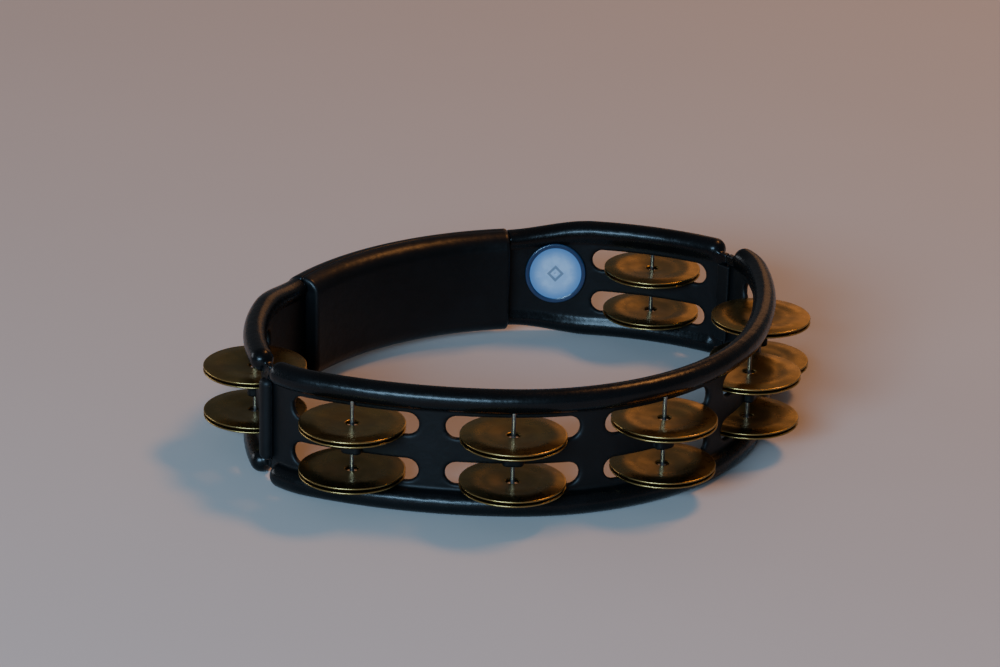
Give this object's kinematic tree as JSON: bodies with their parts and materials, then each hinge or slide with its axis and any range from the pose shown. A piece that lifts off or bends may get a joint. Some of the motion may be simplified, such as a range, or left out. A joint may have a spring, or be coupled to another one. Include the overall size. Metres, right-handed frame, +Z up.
{
  "type": "headless tambourine",
  "caption": "Open tambourine rim without a skin, with a closed hand grip and paired brass jingles that rattle on upright steel pins in slots round the rim.",
  "frame": {"origin": "under the middle of the whole object, on the plane of its lower beads", "axes": "+Z up, from the lower beads to the upper ones; -Y towards the front of the rim; +Y towards the hand grip; +X to the right seen from the front"},
  "size_m": [0.2686, 0.2326, 0.0567],
  "materials": {
    "frame_plastic": "satin moulded black, glossier on the rubbed beads",
    "grip_plastic": "satin moulded black, polished by the hand",
    "jingle_brass": "aged olive brown with brighter rubbed rims",
    "pin_steel": "drawn wire",
    "badge_face": "pale blue disc with a mid blue border"
  },
  "bodies": {
    "root": {"front_frame": "frame_plastic", "left_side_frame": "frame_plastic", "right_side_frame": "frame_plastic", "left_joint_clip": "frame_plastic", "right_joint_clip": "frame_plastic", "grip_outer_shell": "grip_plastic", "grip_inner_shell": "grip_plastic", "badge": "badge_face", "pin_left_side": "pin_steel", "pin_left_outer": "pin_steel", "pin_left_inner": "pin_steel", "pin_front": "pin_steel", "pin_right_inner": "pin_steel", "pin_right_outer": "pin_steel", "pin_right_side": "pin_steel"},
    "jingle_left_side_top_lower": {"jingle_left_side_top_lower": "jingle_brass"},
    "jingle_left_side_top_upper": {"jingle_left_side_top_upper": "jingle_brass"},
    "jingle_left_side_bottom_lower": {"jingle_left_side_bottom_lower": "jingle_brass"},
    "jingle_left_side_bottom_upper": {"jingle_left_side_bottom_upper": "jingle_brass"},
    "jingle_left_outer_top_lower": {"jingle_left_outer_top_lower": "jingle_brass"},
    "jingle_left_outer_top_upper": {"jingle_left_outer_top_upper": "jingle_brass"},
    "jingle_left_outer_bottom_lower": {"jingle_left_outer_bottom_lower": "jingle_brass"},
    "jingle_left_outer_bottom_upper": {"jingle_left_outer_bottom_upper": "jingle_brass"},
    "jingle_left_inner_top_lower": {"jingle_left_inner_top_lower": "jingle_brass"},
    "jingle_left_inner_top_upper": {"jingle_left_inner_top_upper": "jingle_brass"},
    "jingle_left_inner_bottom_lower": {"jingle_left_inner_bottom_lower": "jingle_brass"},
    "jingle_left_inner_bottom_upper": {"jingle_left_inner_bottom_upper": "jingle_brass"},
    "jingle_front_top_lower": {"jingle_front_top_lower": "jingle_brass"},
    "jingle_front_top_upper": {"jingle_front_top_upper": "jingle_brass"},
    "jingle_front_bottom_lower": {"jingle_front_bottom_lower": "jingle_brass"},
    "jingle_front_bottom_upper": {"jingle_front_bottom_upper": "jingle_brass"},
    "jingle_right_inner_top_lower": {"jingle_right_inner_top_lower": "jingle_brass"},
    "jingle_right_inner_top_upper": {"jingle_right_inner_top_upper": "jingle_brass"},
    "jingle_right_inner_bottom_lower": {"jingle_right_inner_bottom_lower": "jingle_brass"},
    "jingle_right_inner_bottom_upper": {"jingle_right_inner_bottom_upper": "jingle_brass"},
    "jingle_right_outer_top_lower": {"jingle_right_outer_top_lower": "jingle_brass"},
    "jingle_right_outer_top_upper": {"jingle_right_outer_top_upper": "jingle_brass"},
    "jingle_right_outer_bottom_lower": {"jingle_right_outer_bottom_lower": "jingle_brass"},
    "jingle_right_outer_bottom_upper": {"jingle_right_outer_bottom_upper": "jingle_brass"},
    "jingle_right_side_top_lower": {"jingle_right_side_top_lower": "jingle_brass"},
    "jingle_right_side_top_upper": {"jingle_right_side_top_upper": "jingle_brass"},
    "jingle_right_side_bottom_lower": {"jingle_right_side_bottom_lower": "jingle_brass"},
    "jingle_right_side_bottom_upper": {"jingle_right_side_bottom_upper": "jingle_brass"}
  },
  "joints": [
    {"name": "jingle_left_side_top_lower_slide", "type": "slide", "parent": "root", "child": "jingle_left_side_top_lower", "axis": [0, 0, 1], "range_m": [0, 0.003]},
    {"name": "jingle_left_side_top_upper_slide", "type": "slide", "parent": "jingle_left_side_top_lower", "child": "jingle_left_side_top_upper", "axis": [0, 0, 1], "range_m": [0, 0.003]},
    {"name": "jingle_left_side_bottom_lower_slide", "type": "slide", "parent": "root", "child": "jingle_left_side_bottom_lower", "axis": [0, 0, 1], "range_m": [0, 0.003]},
    {"name": "jingle_left_side_bottom_upper_slide", "type": "slide", "parent": "jingle_left_side_bottom_lower", "child": "jingle_left_side_bottom_upper", "axis": [0, 0, 1], "range_m": [0, 0.003]},
    {"name": "jingle_left_outer_top_lower_slide", "type": "slide", "parent": "root", "child": "jingle_left_outer_top_lower", "axis": [0, 0, 1], "range_m": [0, 0.003]},
    {"name": "jingle_left_outer_top_upper_slide", "type": "slide", "parent": "jingle_left_outer_top_lower", "child": "jingle_left_outer_top_upper", "axis": [0, 0, 1], "range_m": [0, 0.003]},
    {"name": "jingle_left_outer_bottom_lower_slide", "type": "slide", "parent": "root", "child": "jingle_left_outer_bottom_lower", "axis": [0, 0, 1], "range_m": [0, 0.003]},
    {"name": "jingle_left_outer_bottom_upper_slide", "type": "slide", "parent": "jingle_left_outer_bottom_lower", "child": "jingle_left_outer_bottom_upper", "axis": [0, 0, 1], "range_m": [0, 0.003]},
    {"name": "jingle_left_inner_top_lower_slide", "type": "slide", "parent": "root", "child": "jingle_left_inner_top_lower", "axis": [0, 0, 1], "range_m": [0, 0.003]},
    {"name": "jingle_left_inner_top_upper_slide", "type": "slide", "parent": "jingle_left_inner_top_lower", "child": "jingle_left_inner_top_upper", "axis": [0, 0, 1], "range_m": [0, 0.003]},
    {"name": "jingle_left_inner_bottom_lower_slide", "type": "slide", "parent": "root", "child": "jingle_left_inner_bottom_lower", "axis": [0, 0, 1], "range_m": [0, 0.003]},
    {"name": "jingle_left_inner_bottom_upper_slide", "type": "slide", "parent": "jingle_left_inner_bottom_lower", "child": "jingle_left_inner_bottom_upper", "axis": [0, 0, 1], "range_m": [0, 0.003]},
    {"name": "jingle_front_top_lower_slide", "type": "slide", "parent": "root", "child": "jingle_front_top_lower", "axis": [0, 0, 1], "range_m": [0, 0.003]},
    {"name": "jingle_front_top_upper_slide", "type": "slide", "parent": "jingle_front_top_lower", "child": "jingle_front_top_upper", "axis": [0, 0, 1], "range_m": [0, 0.003]},
    {"name": "jingle_front_bottom_lower_slide", "type": "slide", "parent": "root", "child": "jingle_front_bottom_lower", "axis": [0, 0, 1], "range_m": [0, 0.003]},
    {"name": "jingle_front_bottom_upper_slide", "type": "slide", "parent": "jingle_front_bottom_lower", "child": "jingle_front_bottom_upper", "axis": [0, 0, 1], "range_m": [0, 0.003]},
    {"name": "jingle_right_inner_top_lower_slide", "type": "slide", "parent": "root", "child": "jingle_right_inner_top_lower", "axis": [0, 0, 1], "range_m": [0, 0.003]},
    {"name": "jingle_right_inner_top_upper_slide", "type": "slide", "parent": "jingle_right_inner_top_lower", "child": "jingle_right_inner_top_upper", "axis": [0, 0, 1], "range_m": [0, 0.003]},
    {"name": "jingle_right_inner_bottom_lower_slide", "type": "slide", "parent": "root", "child": "jingle_right_inner_bottom_lower", "axis": [0, 0, 1], "range_m": [0, 0.003]},
    {"name": "jingle_right_inner_bottom_upper_slide", "type": "slide", "parent": "jingle_right_inner_bottom_lower", "child": "jingle_right_inner_bottom_upper", "axis": [0, 0, 1], "range_m": [0, 0.003]},
    {"name": "jingle_right_outer_top_lower_slide", "type": "slide", "parent": "root", "child": "jingle_right_outer_top_lower", "axis": [0, 0, 1], "range_m": [0, 0.003]},
    {"name": "jingle_right_outer_top_upper_slide", "type": "slide", "parent": "jingle_right_outer_top_lower", "child": "jingle_right_outer_top_upper", "axis": [0, 0, 1], "range_m": [0, 0.003]},
    {"name": "jingle_right_outer_bottom_lower_slide", "type": "slide", "parent": "root", "child": "jingle_right_outer_bottom_lower", "axis": [0, 0, 1], "range_m": [0, 0.003]},
    {"name": "jingle_right_outer_bottom_upper_slide", "type": "slide", "parent": "jingle_right_outer_bottom_lower", "child": "jingle_right_outer_bottom_upper", "axis": [0, 0, 1], "range_m": [0, 0.003]},
    {"name": "jingle_right_side_top_lower_slide", "type": "slide", "parent": "root", "child": "jingle_right_side_top_lower", "axis": [0, 0, 1], "range_m": [0, 0.003]},
    {"name": "jingle_right_side_top_upper_slide", "type": "slide", "parent": "jingle_right_side_top_lower", "child": "jingle_right_side_top_upper", "axis": [0, 0, 1], "range_m": [0, 0.003]},
    {"name": "jingle_right_side_bottom_lower_slide", "type": "slide", "parent": "root", "child": "jingle_right_side_bottom_lower", "axis": [0, 0, 1], "range_m": [0, 0.003]},
    {"name": "jingle_right_side_bottom_upper_slide", "type": "slide", "parent": "jingle_right_side_bottom_lower", "child": "jingle_right_side_bottom_upper", "axis": [0, 0, 1], "range_m": [0, 0.003]}
  ]
}
